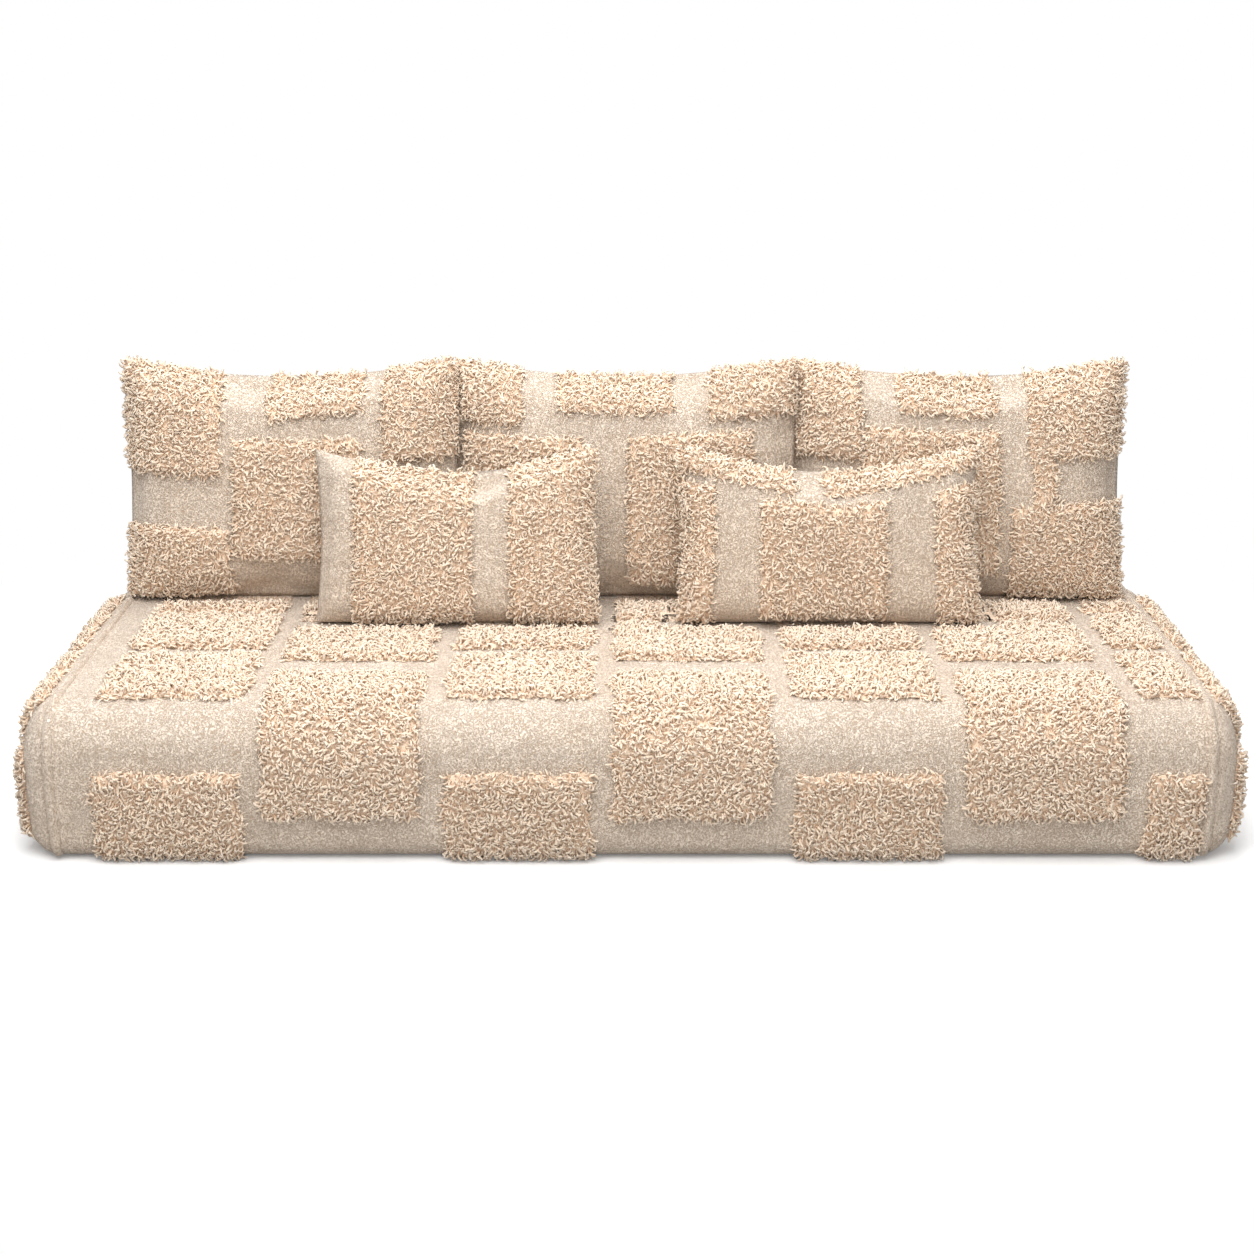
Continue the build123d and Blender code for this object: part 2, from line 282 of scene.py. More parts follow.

# %% [markdown]
# ## The cut pile
# The tufts are thick soft yarn, cream at the tips. Towards the roots, where the strands shade
# each other, the colour is a painted tan shade. Every strand carries three attributes from its
# Geometry Nodes tree: tip runs from 0 at the root to 1 at the end, tint is a random number for
# the whole strand, and nap is the way that the cloth below it faces. A share of the nap is mixed
# into each strand's normal, so that a rectangle is lit as one soft surface and not only strand
# by strand.

# %% Cut pile material
cut_pile, tree, shader = new_material("Cut pile yarn")
tip, tint = (put(tree, "ShaderNodeAttribute", attribute_name=word).outputs["Fac"] for word in ("tip", "tint"))
locks = locks_of(tree, Scale=700.0, Swirl=0.01)
# The tan near the roots is painted shade between the strands; towards the tips it fades into the yarn's cream.
root_painted_shade = mixed(tree, mapped(tree, tip, 0.0, 0.45), (0.86, 0.60, 0.40, 1), (1.0, 0.785, 0.60, 1))
strand = mixed(tree, mapped(tree, tip, 0.25, 0.9), root_painted_shade, (1.0, 0.87, 0.72, 1))
dyed = mixed(tree, 1.0, strand, mixed(tree, tint, (0.96, 0.91, 0.85, 1), white), "MULTIPLY")
fibre = mixed(tree, locks["Shade"], (0.95, 0.93, 0.91, 1), white)
nap = put(tree, "ShaderNodeAttribute", attribute_name="nap").outputs["Vector"]
nap_here = put(tree, "ShaderNodeVectorTransform", {0: nap}, vector_type="NORMAL",
               convert_from="OBJECT", convert_to="WORLD")
own = put(tree, "ShaderNodeNewGeometry").outputs["Normal"]
soft = put(tree, "ShaderNodeMix", {0: 0.3, 4: own, 5: nap_here}, data_type="VECTOR").outputs[1]
feed(tree, shader, {"Base Color": mixed(tree, 1.0, dyed, fibre, "MULTIPLY"), "Roughness": 0.9,
                    "Specular IOR Level": 0.2, "Sheen Weight": 0.45,
                    "Normal": bump(tree, 0.5, 0.0006, locks["Height"], Normal=soft)})

# %% [markdown]
# ## The shape of the mattress
# Seen from its end the mattress is a rounded box: upright sides that bulge a little, a wide
# soft radius along the top edges and a small one at the floor. The outline is drawn once as
# a ring of points at even steps, and everything on the mattress is placed on it by two
# numbers: how far along the sofa, and how far round the ring.

# %% Ring of the mattress
half_depth = 0.370
mattress_height = 0.255
side_bulge = 0.009
top_crown = 0.003
top_edge_radius = 0.076
foot_edge_radius = 0.034
ring_step = 0.001


def arc(across, up, radius, first, last):
    turn = np.radians(np.linspace(first, last, 40))
    return np.stack([across + radius * np.cos(turn), up + radius * np.sin(turn)], 1)


foot = half_depth - foot_edge_radius
shoulder = half_depth - top_edge_radius
front = np.concatenate([[(0, 0)], arc(-foot, foot_edge_radius, foot_edge_radius, -90, -180),
                        arc(-shoulder, mattress_height - top_edge_radius, top_edge_radius, 180, 90),
                        [(0, mattress_height)]])
rear = front[-2::-1] * (-1, 1)
sharp_ring = np.concatenate([front, rear])
steps = np.concatenate([[0], np.cumsum(np.linalg.norm(np.diff(sharp_ring, axis=0), axis=1))])
ring_s = np.arange(0, steps[-1], ring_step)
ring_y = np.interp(ring_s, steps, sharp_ring[:, 0])
ring_z = np.interp(ring_s, steps, sharp_ring[:, 1])
level = (ring_z - mattress_height / 2) / (mattress_height / 2)
ring_y = ring_y * (1 + side_bulge / half_depth * (1 - level**2) * np.abs(ring_y / half_depth) ** 3)
ring_z = ring_z + top_crown * (1 - (ring_y / half_depth) ** 2).clip(0) * smooth_step(level)
ring_length = steps[-1]
tangent = np.stack([np.gradient(ring_y, ring_s), np.gradient(ring_z, ring_s)], 1)
tangent /= np.linalg.norm(tangent, axis=1)[:, None]
print("ring of the mattress:", len(ring_s), "points,", round(ring_length, 3), "m round")

# %% [markdown]
# ## The softness of the mattress
# The cover is pulled over a firm foam core, so the big planes are never quite flat: the
# upright sides swell and sink by up to three millimetres over a hand's width, and the top,
# where the cushions stand, sinks by about one at most. A sum of slow waves does this, and
# fades out near the floor and along the zip.

# %% Surface of the mattress
widest = half_depth + side_bulge
end_start, end_radius = 0.922, 0.056
end_side_radius, end_top_radius, end_foot_radius = 0.052, 0.060, 0.036
side_swell, top_sink = 0.0028, 0.0006
wave_table = ((1.0, 9.0, 4.0, 0.3), (0.8, -6.0, 11.0, 1.7), (0.6, 17.0, 7.0, 2.9), (0.5, 23.0, -15.0, 4.1),
              (0.35, 37.0, 21.0, 0.9))


def waves(along, round_it):
    """A slow swell from -1 to 1."""
    total = np.zeros(np.broadcast(along, round_it).shape)
    for depth, turn_x, turn_s, start in wave_table:
        total = total + depth * np.sin(turn_x * along + turn_s * round_it + start)
    return total / 3.25


def mattress_surface(along, round_it, lift=0.0):
    """Points of the mattress cover, at places along the sofa and round its ring."""
    along, round_it = np.broadcast_arrays(np.asarray(along, float), np.asarray(round_it, float))
    y, z = np.interp(round_it, ring_s, ring_y), np.interp(round_it, ring_s, ring_z)
    ty, tz = np.interp(round_it, ring_s, tangent[:, 0]), np.interp(round_it, ring_s, tangent[:, 1])
    upright = smooth_step((z - 0.02) / 0.06) * np.where(y > 0, smooth_step((z - 0.09) / 0.05), 1)
    flat_top = smooth_step((z - 0.235) / 0.02)
    out = lift + upright * (1 - flat_top) * side_swell * waves(along, round_it)
    out = out - flat_top * top_sink * (1 + waves(along, round_it))
    y, z = y - tz * out, z + ty * out
    turn = np.clip((np.abs(along) - end_start) / end_radius, 0, 1)
    round_off = 1 - np.sqrt(1 - turn**2)
    side = (widest - end_side_radius * round_off) / widest
    low, high = end_foot_radius * round_off, mattress_height + top_crown - end_top_radius * round_off
    z = low + z * (high - low) / (mattress_height + top_crown)
    return np.stack([along, y * side, z], -1)


# %% Whole mattress as one closed net
seam_place = 0.935
ring_count = 180
ring_at = np.arange(ring_count) * ring_length / ring_count
middle_stations = np.linspace(-seam_place, seam_place, 165)
first_turn = math.degrees(math.asin((seam_place - end_start) / end_radius))
end_stations = end_start + end_radius * np.sin(np.radians(np.linspace(first_turn, 90, 10)[1:]))
stations = np.concatenate([-end_stations[::-1], middle_stations, end_stations])
net = mattress_surface(stations[:, None], ring_at[None, :])
end_bulge = 0.007
shrinks = np.linspace(0.93, 0.05, 13)


def end_face(ring, side):
    """The rings that close an end, and the point in its middle."""
    centre = np.array([ring[0, 0], 0.0, (ring[:, 2].min() + ring[:, 2].max()) / 2])
    rings = []
    for shrink in shrinks:
        inner = centre + (ring - centre) * shrink
        inner[:, 0] += side * end_bulge * (1 - shrink**2)
        rings.append(inner)
    return np.array(rings), centre + (side * end_bulge, 0, 0)


left_rings, left_pole = end_face(net[0], -1)
right_rings, right_pole = end_face(net[-1], 1)
all_rings = np.concatenate([left_rings[::-1], net, right_rings])
print("mattress net:", all_rings.shape[0], "rings of", ring_count)


def net_faces(first, last):
    """The quads between two rings of the net."""
    index = np.arange(all_rings[..., 0].size).reshape(-1, ring_count)[first:last + 1]
    return net_quads(np.concatenate([index, index[:, :1]], 1)).tolist()


# %% [markdown]
# ## The mattress cover and its core
# The real cover is sewn from one long panel that wraps round the mattress and two end
# panels, joined at a seam five centimetres from each end. Each panel is its own piece with
# the cloth's thickness, given by a Solidify modifier. The foam core is the same form, four
# millimetres smaller all round, and closed at both ends.

# %% Mattress panels and core
cloth_thickness = 0.002
end_count = len(shrinks) + len(end_stations)
last_ring = len(all_rings) - 1
net_points = all_rings.reshape(-1, 3)


def finish_piece(piece, material, body):
    piece.data.materials.clear()
    piece.data.materials.append(material)
    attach(piece, body)
    print(piece.name, "has", len(piece.data.polygons), "faces")


def cloth_panel(name, points, faces):
    """A panel of cloth with its thickness on its inner side."""
    panel = object_from(name, points, faces)
    tidy = bmesh.new()
    tidy.from_mesh(panel.data)
    bmesh.ops.delete(tidy, geom=[v for v in tidy.verts if not v.link_faces], context="VERTS")
    tidy.to_mesh(panel.data)
    tidy.free()
    thick = panel.modifiers.new("Cloth thickness", "SOLIDIFY")
    thick.thickness = cloth_thickness
    thick.offset = -1
    return settled(panel)


wrap = cloth_panel("mattress_wrap_cloth", net_points, net_faces(end_count, last_ring - end_count))
left_fan = [(len(net_points), c, (c + 1) % ring_count) for c in range(ring_count)]
right_fan = [(len(net_points), last_ring * ring_count + (c + 1) % ring_count, last_ring * ring_count + c)
             for c in range(ring_count)]
left_end = cloth_panel("mattress_left_end_cloth", np.vstack([net_points, left_pole]),
                       net_faces(0, end_count) + left_fan)
right_end = cloth_panel("mattress_right_end_cloth", np.vstack([net_points, right_pole]),
                        net_faces(last_ring - end_count, last_ring) + right_fan)

# %% Materials that stay inside the covers
foam, tree, shader = new_material("Upholstery foam")
cells = put(tree, "ShaderNodeTexVoronoi", {"Vector": object_place(tree), "Scale": 900.0}).outputs["Distance"]
feed(tree, shader, {"Base Color": mixed(tree, cells, (0.80, 0.70, 0.46, 1), (0.62, 0.50, 0.28, 1)),
                    "Roughness": 0.9, "Normal": bump(tree, 0.6, 0.0008, cells)})

fibre_filling, tree, shader = new_material("Hollow fibre filling")
locks = locks_of(tree, Scale=120.0)
# The grey between the locks is painted shade; the locks themselves are pale.
feed(tree, shader, {"Base Color": mixed(tree, locks["Height"], (0.66, 0.66, 0.64, 1), (0.88, 0.88, 0.86, 1)),
                    "Roughness": 0.95, "Normal": bump(tree, 0.7, 0.004, locks["Height"])})

# %% Mattress pieces take their places
core_gap = 0.004
shell = object_from("mattress_core_foam", np.vstack([net_points, left_pole, right_pole]),
                    net_faces(0, last_ring) + left_fan
                    + [(len(net_points) + 1, b, c) for a, b, c in right_fan])
set_places(shell.data, places(shell.data) - core_gap * outward(shell.data))
fewer = shell.modifiers.new("Fewer faces", "DECIMATE")
fewer.ratio = 0.3
settled(shell)
finish_piece(shell, foam, "mattress")
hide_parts("mattress_core")
for panel, node in ((wrap, "mattress_wrap_panel"), (left_end, "mattress_left_end_panel"),
                    (right_end, "mattress_right_end_panel")):
    finish_piece(panel, base_cloth, "mattress")
    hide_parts(node)

# %% [markdown]
# ## The felled seams
# The two end seams are felled: the edges are folded under a raised band of the same cloth
# and sewn down on both sides. A strip follows the ring, nine points wide, lifted in its
# middle. The stitches are small and all alike, so Geometry Nodes sets one on each step of
# the sewing line, which is only a row of points lifted off the ring.

# %% Seam bands
band_width = 0.018
stitch_lift = 0.0038
seam_foot = 0.012
on_seam = (ring_z > seam_foot)
band_start, band_end = ring_s[on_seam][0], ring_s[on_seam][-1]
band_steps = np.linspace(band_start, band_end, 150)
band_across = np.array([0, 0.03, 0.14, 0.3, 0.5, 0.7, 0.86, 0.97, 1.0])
band_heights = np.array([-0.001, 0.0012, 0.0034, 0.0064, 0.0072, 0.0064, 0.0034, 0.0012, -0.001])


def seam_band(side):
    near, far = side * (seam_place - band_width), side * seam_place
    grid = np.array([mattress_surface(near + (far - near) * share, band_steps, lift)
                     for share, lift in zip(band_across, band_heights)])
    quads = net_quads(np.arange(grid[..., 0].size).reshape(grid.shape[:2]))
    print("seam band rises", round(float(band_heights.max()) * 1000, 1), "mm")
    return grid, quads[:, ::-1] if side < 0 else quads


# %% Helpers for Geometry Nodes
def new_geometry_tree(name, sizes, source):
    """A Geometry Nodes tree with named sizes, and what its group input gives."""
    tree = bpy.data.node_groups.new(name, "GeometryNodeTree")
    new_socket(tree, source, "Geometry")
    for label, value in sizes.items():
        new_socket(tree, label, "Int" if isinstance(value, int) else "Float", value)
    new_socket(tree, "Finish", "Material")
    new_socket(tree, "Geometry", "Geometry", way="OUTPUT")
    return tree, put(tree, "NodeGroupInput").outputs


def grown(source, tree, name, finish, **sizes):
    """Runs a tree on an object and returns a plain mesh object."""
    growth = source.modifiers.new("Growth", "NODES")
    growth.node_group = tree
    wanted = {label.replace("_", " "): value for label, value in sizes.items()}
    wanted["Finish"] = finish
    for socket in tree.interface.items_tree:
        if socket.item_type == "SOCKET" and socket.in_out == "INPUT" and socket.name in wanted:
            growth[socket.identifier] = wanted[socket.name]
    mesh = plain_mesh(source)
    mesh.name = name
    made = in_scene(name, mesh)
    bpy.data.objects.remove(source)
    return made


def line_object(name, points):
    return object_from(name, points, edges=[(i, i + 1) for i in range(len(points) - 1)])


def points_along(tree, line, spacing):
    curve = put(tree, "GeometryNodeMeshToCurve", {"Mesh": line})
    return put(tree, "GeometryNodeCurveToPoints", {"Curve": curve, "Length": spacing}, mode="LENGTH")


def beads(tree, points, radius, size, turned):
    """One small ball on each point, stretched to a size and turned."""
    ball = put(tree, "GeometryNodeMeshUVSphere", {"Segments": 6, "Rings": 4, "Radius": radius})
    stretch = put(tree, "ShaderNodeCombineXYZ", enumerate(size))
    return put(tree, "GeometryNodeInstanceOnPoints", {"Points": points, "Instance": ball, "Rotation": turned,
                                                      "Scale": stretch})


def send(tree, geometry, finish):
    """Gives the geometry its material and sends it out of the tree."""
    dyed = put(tree, "GeometryNodeSetMaterial", {"Geometry": geometry, "Material": finish})
    put(tree, "NodeGroupOutput", {"Geometry": dyed})


# %% Geometry Nodes: stitches along a line
stitches, given = new_geometry_tree("Row of stitches", {"Spacing": 0.0075, "Stitch length": 0.005,
                                                        "Thread width": 0.0011}, "Sewing line")
points = points_along(stitches, given["Sewing line"], given["Spacing"])
thread_size = (given["Thread width"], given["Thread width"], given["Stitch length"])
sewn = beads(stitches, points, 0.5, thread_size, points.outputs["Rotation"])
send(stitches, put(stitches, "GeometryNodeRealizeInstances", {"Geometry": sewn}), given["Finish"])

# %% Sew the bands
thread, tree, shader = new_material("Sewing thread")
twist = put(tree, "ShaderNodeTexWave", {"Vector": object_place(tree), "Scale": 900.0, "Distortion": 1.0})
feed(tree, shader, {"Base Color": mixed(tree, twist.outputs["Fac"], (0.56, 0.44, 0.33, 1), (0.78, 0.67, 0.55, 1)),
                    "Roughness": 0.8})

for side, word in ((-1, "left"), (1, "right")):
    grid, quads = seam_band(side)
    band = object_from(f"mattress_{word}_seam_cloth", grid.reshape(-1, 3), quads.tolist())
    finish_piece(band, base_cloth, "mattress")
    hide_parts(f"mattress_{word}_seam_band")
    for share, name in ((0.14, "inner"), (0.86, "outer")):
        line = mattress_surface(side * (seam_place - band_width * (1 - share)), band_steps, stitch_lift)
        row = grown(line_object("sewing_line", line), stitches, f"mattress_{word}_{name}_stitches", thread)
        finish_piece(row, thread, "mattress")

# %% [markdown]
# ## The pile, strand by strand
# Cut pile is hundreds of soft yarn ends that stand out of the cloth, curl and lie over each
# other. A bed of yarn covers each rectangle, and Geometry Nodes scatters strands on it, a
# few millimetres apart and never closer than that. Five bent strands are made inside the
# tree and picked at random. Each leans out at the edge of its rectangle and a little
# downwards, as far as the bed's lean attribute says, and its grow attribute makes it short
# where a cushion presses on it. The nap attribute is the way that the bed faces at its root.


# %% Bends of the strands, and helpers for their tree
strand_bends = (((-0.05, 0.02, 0.62), (0.52, 0.08, 0.66)), ((-0.2, 0.12, 0.5), (0.28, 0.42, 0.62)),
                ((0.25, -0.1, 0.6), (0.66, 0.2, 0.30)), ((0.3, -0.2, 0.55), (-0.28, -0.12, 0.72)),
                ((0.35, 0.22, 0.62), (0.3, 0.62, 0.34)))


def random_number(tree, low, high, seed):
    return put(tree, "FunctionNodeRandomValue", {2: low, 3: high, 8: seed}, data_type="FLOAT").outputs[1]


def named(tree, name, kind="FLOAT"):
    return put(tree, "GeometryNodeInputNamedAttribute", {"Name": name}, data_type=kind)


def stored(tree, geometry, name, value, kind="FLOAT", domain="POINT"):
    return put(tree, "GeometryNodeStoreNamedAttribute", {"Geometry": geometry, "Name": name, "Value": value},
               data_type=kind, domain=domain)


# %% Geometry Nodes: cut pile, its places and its strands
pile, given = new_geometry_tree("Cut pile", {"Strand spacing": 0.0041, "Strand length": 0.0155,
                                             "Strand width": 0.0045, "Wildness": 0.36, "Seed": 3}, "Bed")
scatter = put(pile, "GeometryNodeDistributePointsOnFaces", {
    "Mesh": given["Bed"], "Distance Min": given["Strand spacing"], "Density Max": 350000.0,
    "Seed": given["Seed"]}, distribute_method="POISSON")
radius = maths(pile, "MULTIPLY", maths(pile, "DIVIDE", given["Strand width"], given["Strand length"]), 0.5)
section = put(pile, "GeometryNodeCurvePrimitiveCircle", {"Resolution": 3, "Radius": radius}, mode="RADIUS")
along = put(pile, "GeometryNodeSplineParameter").outputs["Factor"]
taper = mapped(pile, along, 0.5, 1.0, 1.0, 0.72)
kinds = put(pile, "GeometryNodeGeometryToInstance")
for middle, end in strand_bends:
    path = put(pile, "GeometryNodeCurveQuadraticBezier", {"Resolution": 2, "Start": (0, 0, 0), "Middle": middle,
                                                          "End": end})
    tube = put(pile, "GeometryNodeCurveToMesh", {"Curve": stored(pile, path, "tip", along),
               "Profile Curve": section, "Scale": taper, "Fill Caps": True})
    feed(pile, kinds, {0: tube})

# %% How each strand leans and turns, and its length
wild = put(pile, "FunctionNodeRandomValue", {0: (-1, -1, -1), 1: (1, 1, 1), 8: 11}, data_type="FLOAT_VECTOR")
spread = vector_maths(pile, "SCALE", wild, Scale=given["Wildness"])
leaning = vector_maths(pile, "ADD", scatter.outputs["Normal"], named(pile, "lean", "FLOAT_VECTOR"))
facing = vector_maths(pile, "ADD", leaning, spread)
stand = put(pile, "FunctionNodeAlignRotationToVector", {"Vector": facing}, axis="Z")
roll = put(pile, "FunctionNodeAxisAngleToRotation", {"Axis": (0, 0, 1), "Angle": random_number(pile, 0.0, 6.283, 21)})
turned = put(pile, "FunctionNodeRotateRotation", {"Rotation": stand, "Rotate By": roll}, rotation_space="LOCAL")
one_length = maths(pile, "MULTIPLY", given["Strand length"], random_number(pile, 0.75, 1.15, 5))
length = maths(pile, "MULTIPLY", one_length, named(pile, "grow"))
pick = put(pile, "FunctionNodeRandomValue", {4: 0, 5: len(strand_bends) - 1, 8: 31}, data_type="INT").outputs[2]
planted = put(pile, "GeometryNodeInstanceOnPoints", {"Points": scatter, "Instance": kinds, "Pick Instance": True,
              "Instance Index": pick, "Rotation": turned, "Scale": length})

# %% What each strand carries, and the bed below
toned = stored(pile, planted, "tint", random_number(pile, 0.0, 1.0, 41), domain="INSTANCE")
combed = stored(pile, toned, "nap", scatter.outputs["Normal"], "FLOAT_VECTOR", "INSTANCE")
together = put(pile, "GeometryNodeJoinGeometry")
feed(pile, together, {0: stored(pile, given["Bed"], "nap", put(pile, "GeometryNodeInputNormal"), "FLOAT_VECTOR")})
feed(pile, together, {0: put(pile, "GeometryNodeRealizeInstances", {"Geometry": combed})})
send(pile, put(pile, "GeometryNodeSetShadeSmooth", {"Geometry": together}), given["Finish"])
print("pile tree has", len(pile.nodes), "nodes")

# %% [markdown]
# ## Beds for the pile
# A bed is a small net of points on the cloth inside one rectangle. It rises by about six
# millimetres within nine millimetres of its edge, as a backing full of yarn does, and hardly
# at all where a cushion presses on it. The helper takes a function that gives the cloth's
# surface for two numbers, so that the same helper serves the mattress and the cushions.

# %% Bed helper
bed_height, bed_foot = 0.0058, 0.0004
edge_width = 0.009
backing_edge = 0.004
bed_cell = 0.009
edge_lean, swirl_lean, edge_sway = 0.65, 0.22, 0.0026


def direction(steps):
    return steps / np.linalg.norm(steps, axis=2)[..., None]


def from_ends(count, length):
    """How far each point of a row is from the row's nearer end, and which end that is."""
    order = np.arange(count)
    return np.minimum(order, order[::-1]) * length / (count - 1), np.where(order < count / 2, -1, 1)


def bed_net(surface, first, second, size, droop, grow_at, bounds=(-9, 9, -9, 9)):
    """Points, faces, lean and growth of one bed, over two ranges of the surface's numbers."""
    count_a, count_b = (max(4, int(round(length / bed_cell)) + 1) for length in size)
    a, b = np.meshgrid(np.linspace(*first, count_a), np.linspace(*second, count_b), indexing="ij")
    span_a, span_b = first[1] - first[0], second[1] - second[0]
    out_a, out_b = 2 * (a - first[0]) / span_a - 1, 2 * (b - second[0]) / span_b - 1
    sway = edge_sway * (np.sin(71 * (a + b) + 3 * out_a) + np.sin(43 * (a - b) + 1.7))
    a = np.clip(a + sway * out_a**5 * span_a / size[0], *sorted(bounds[:2]))
    b = np.clip(b + sway * out_b**5 * span_b / size[1], *sorted(bounds[2:]))
    skin = surface(a, b)
    step_a, step_b = np.gradient(skin, axis=0), np.gradient(skin, axis=1)
    normal = direction(np.cross(step_a, step_b))
    way_a, way_b = direction(step_a), direction(step_b)
    (from_a, sign_a), (from_b, sign_b) = from_ends(count_a, size[0]), from_ends(count_b, size[1])
    near_a = ((1 - smooth_step(from_a / edge_width)) * sign_a)[:, None, None]
    near_b = ((1 - smooth_step(from_b / edge_width)) * sign_b)[None, :, None]
    lean = edge_lean * (near_a * way_a + near_b * way_b) + droop
    x, z = skin[..., :1], skin[..., 2:]
    lean = lean + swirl_lean * (np.sin(31 * x + 17 * z) * way_a + np.cos(23 * x - 29 * z) * way_b)
    growth = grow_at(skin)
    edge = np.minimum(from_a[:, None], from_b[None, :])
    rise = bed_foot + bed_height * growth**3 * smooth_step(edge / edge_width)
    points = skin + normal * rise[..., None]
    quads = net_quads(np.arange(count_a * count_b).reshape(count_a, count_b))
    return points.reshape(-1, 3), quads, lean.reshape(-1, 3), growth.ravel()


# %% Beds grow into one piece of pile
def full_growth(skin):
    return np.ones(skin.shape[:-1])


def pile_piece(name, beds, body, seed, room, **sizes):
    """One piece of pile over several beds, in the place of the solid tufts."""
    points, quads, leans, growths = zip(*beds)
    first = np.cumsum([0] + [len(p) for p in points])
    faces = np.concatenate([q + start for q, start in zip(quads, first)])
    source = object_from(name + "_pile_bed", np.concatenate(points), faces.tolist())
    store(source.data, "lean", np.concatenate(leans), "FLOAT_VECTOR", "vector")
    store(source.data, "grow", np.concatenate(growths))
    store(source.data, "tip", np.full(first[-1], 0.45))
    store(source.data, "tint", np.full(first[-1], 0.5))
    made = grown(source, pile, name + "_pile", cut_pile, Seed=seed, **sizes)
    set_places(made.data, room(places(made.data)))
    finish_piece(made, cut_pile, body)
    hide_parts(name + "_tufts")


# %% [markdown]
# ## The pile of the mattress
# The rectangles lie in columns, and neighbouring columns are stepped half a rectangle, so
# that they interlock like bricks. The front ones hang over the edge. Under the cushions
# the pile is pressed flat, so those strands grow to half of their length and are kept
# below the level on which the cushions stand.

# %% Places of the rectangles
repeat = 0.562
narrow_width, wide_width = 0.238, 0.254
narrow_start, wide_start = -0.180, 0.099
least_width = 0.04
seam_limit = seam_place - band_width - 0.0004


def columns(start, width):
    cuts = [(max(start + k * repeat - width / 2, -seam_limit), min(start + k * repeat + width / 2, seam_limit))
            for k in range(-4, 5)]
    return [(low, high) for low, high in cuts if high - low > least_width]


narrow, wide = columns(narrow_start, narrow_width), columns(wide_start, wide_width)
front_edge = (ring_y < -0.3) & (ring_s > 0.1) & (ring_s < ring_length / 2)
rear_edge = (ring_y > 0.3) & (ring_s < ring_length - 0.1) & (ring_s > ring_length / 2)
upper = (ring_z > mattress_height / 2)


def at_front_height(height):
    return float(np.interp(height, ring_z[front_edge], ring_s[front_edge]))


def at_rear_height(height):
    return float(np.interp(height, ring_z[rear_edge][::-1], ring_s[rear_edge][::-1]))


def at_depth(depth):
    """Where the ring is at a depth measured from the front edge."""
    return float(np.interp(depth - half_depth, ring_y[upper], ring_s[upper]))


print("columns:", len(narrow), "narrow,", len(wide), "wide")

# %% Pressed strips under the cushions
mattress_depth = 2 * half_depth
back_pitch = 0.619
row_place = -0.010
back_seat, lumbar_seat = mattress_depth - 0.134 - half_depth, mattress_depth - 0.294 - half_depth
lumbar_places = {"left": (row_place - back_pitch / 2 + 0.010, 0.505),
                 "right": (row_place + back_pitch / 2 + 0.054, 0.535)}
row_reach = back_pitch + 0.300 + 0.030
strip_fade = 0.012
pressed_top = mattress_height + top_crown + 0.002
pressed_share = 0.5
floor_gap = 0.0012
top_level = 0.2


def in_strip(points, middle, half_width, centre, reach):
    """1 inside a pressed strip and 0 outside it, with a soft edge."""
    x, y = points[..., 0], points[..., 1]
    return (smooth_step((half_width - np.abs(y - middle)) / strip_fade)
            * smooth_step((reach - np.abs(x - centre)) / strip_fade))


def under_cushions(points, margin):
    """How far inside the pressed strips points are, from 0 outside to 1 inside."""
    inside = in_strip(points, back_seat, 0.064 + margin, 0.0, row_reach + margin)
    for place, width in lumbar_places.values():
        strip = in_strip(points, lumbar_seat, 0.050 + margin, place, width / 2 + 0.030 + margin)
        inside = np.maximum(inside, strip)
    return inside


def growth_on_mattress(skin):
    return 1 - pressed_share * under_cushions(skin, 0.0) * (skin[..., 2] > top_level)


def mattress_room(points):
    """Keeps strands off the floor and under the cushions' feet."""
    points[:, 2] = np.maximum(points[:, 2], floor_gap)
    pressed = (under_cushions(points, 0.004) > 0.02) & (points[:, 2] > top_level)
    points[pressed, 2] = np.minimum(points[pressed, 2], pressed_top - 0.0002)
    return points


# %% Grow the pile of the mattress
gravity_front = np.array([0, -0.1, -0.45])
gravity_top = np.array([0, -0.3, 0.0])
hidden_spacing = {"Strand_spacing": 0.0049}


def mattress_bed(across, low, high, droop):
    across, low, high = (across[0] + backing_edge, across[1] - backing_edge), low + backing_edge, high - backing_edge
    size = (across[1] - across[0], high - low)
    return bed_net(mattress_surface, across, (low, high), size, droop, growth_on_mattress)


def by_slope(low, high):
    """Strands droop on the upright front and lie forwards on the top."""
    return gravity_front if (low + high) / 2 < at_front_height(top_level) else gravity_top


front_low = (at_front_height(0.004), at_front_height(0.158))
front_high = (at_front_height(0.076), at_depth(0.23 * mattress_depth))
rear_high = (at_depth(0.9 * mattress_depth), at_rear_height(0.108))
row_shares = ((0.085, 0.355), (0.325, 0.58), (0.405, 0.64), (0.61, 0.865), (0.675, 0.93))
groups = [("front_low", narrow, front_low), ("front_high", wide, front_high), ("rear", wide, rear_high)]
for number, (low, high) in enumerate(row_shares, 1):
    groups.append((f"top_row_{number}", narrow if number % 2 else wide,
                   (at_depth(low * mattress_depth), at_depth(high * mattress_depth))))
for seed, (name, where, (low, high)) in enumerate(groups):
    beds = [mattress_bed(across, low, high, by_slope(low, high)) for across in where]
    spacing = hidden_spacing if name in ("rear", "top_row_5") else {}
    pile_piece(name, beds, "mattress", seed + 1, mattress_room, **spacing)

# %% [markdown]
# ## The pile of the two ends
# The rectangles at the ends wrap from the top over the rounded end. Their beds are found by
# rays: each starts outside, on an arc over the end, and runs towards the inside of the
# mattress until it meets the end panel. The third rectangle is a low one near the front
# edge, and its rays run level.


# %% Beds on the ends
end_patches = (((0.095, 0.405), (-0.025, 0.98)), ((0.45, 0.84), (-0.025, 0.98)), ((0.03, 0.09), (-0.145, 0.0)))
arc_place, arc_height, arc_radius = 0.895, 0.175, 0.115
ray_start, ray_miss = 0.3, 0.2


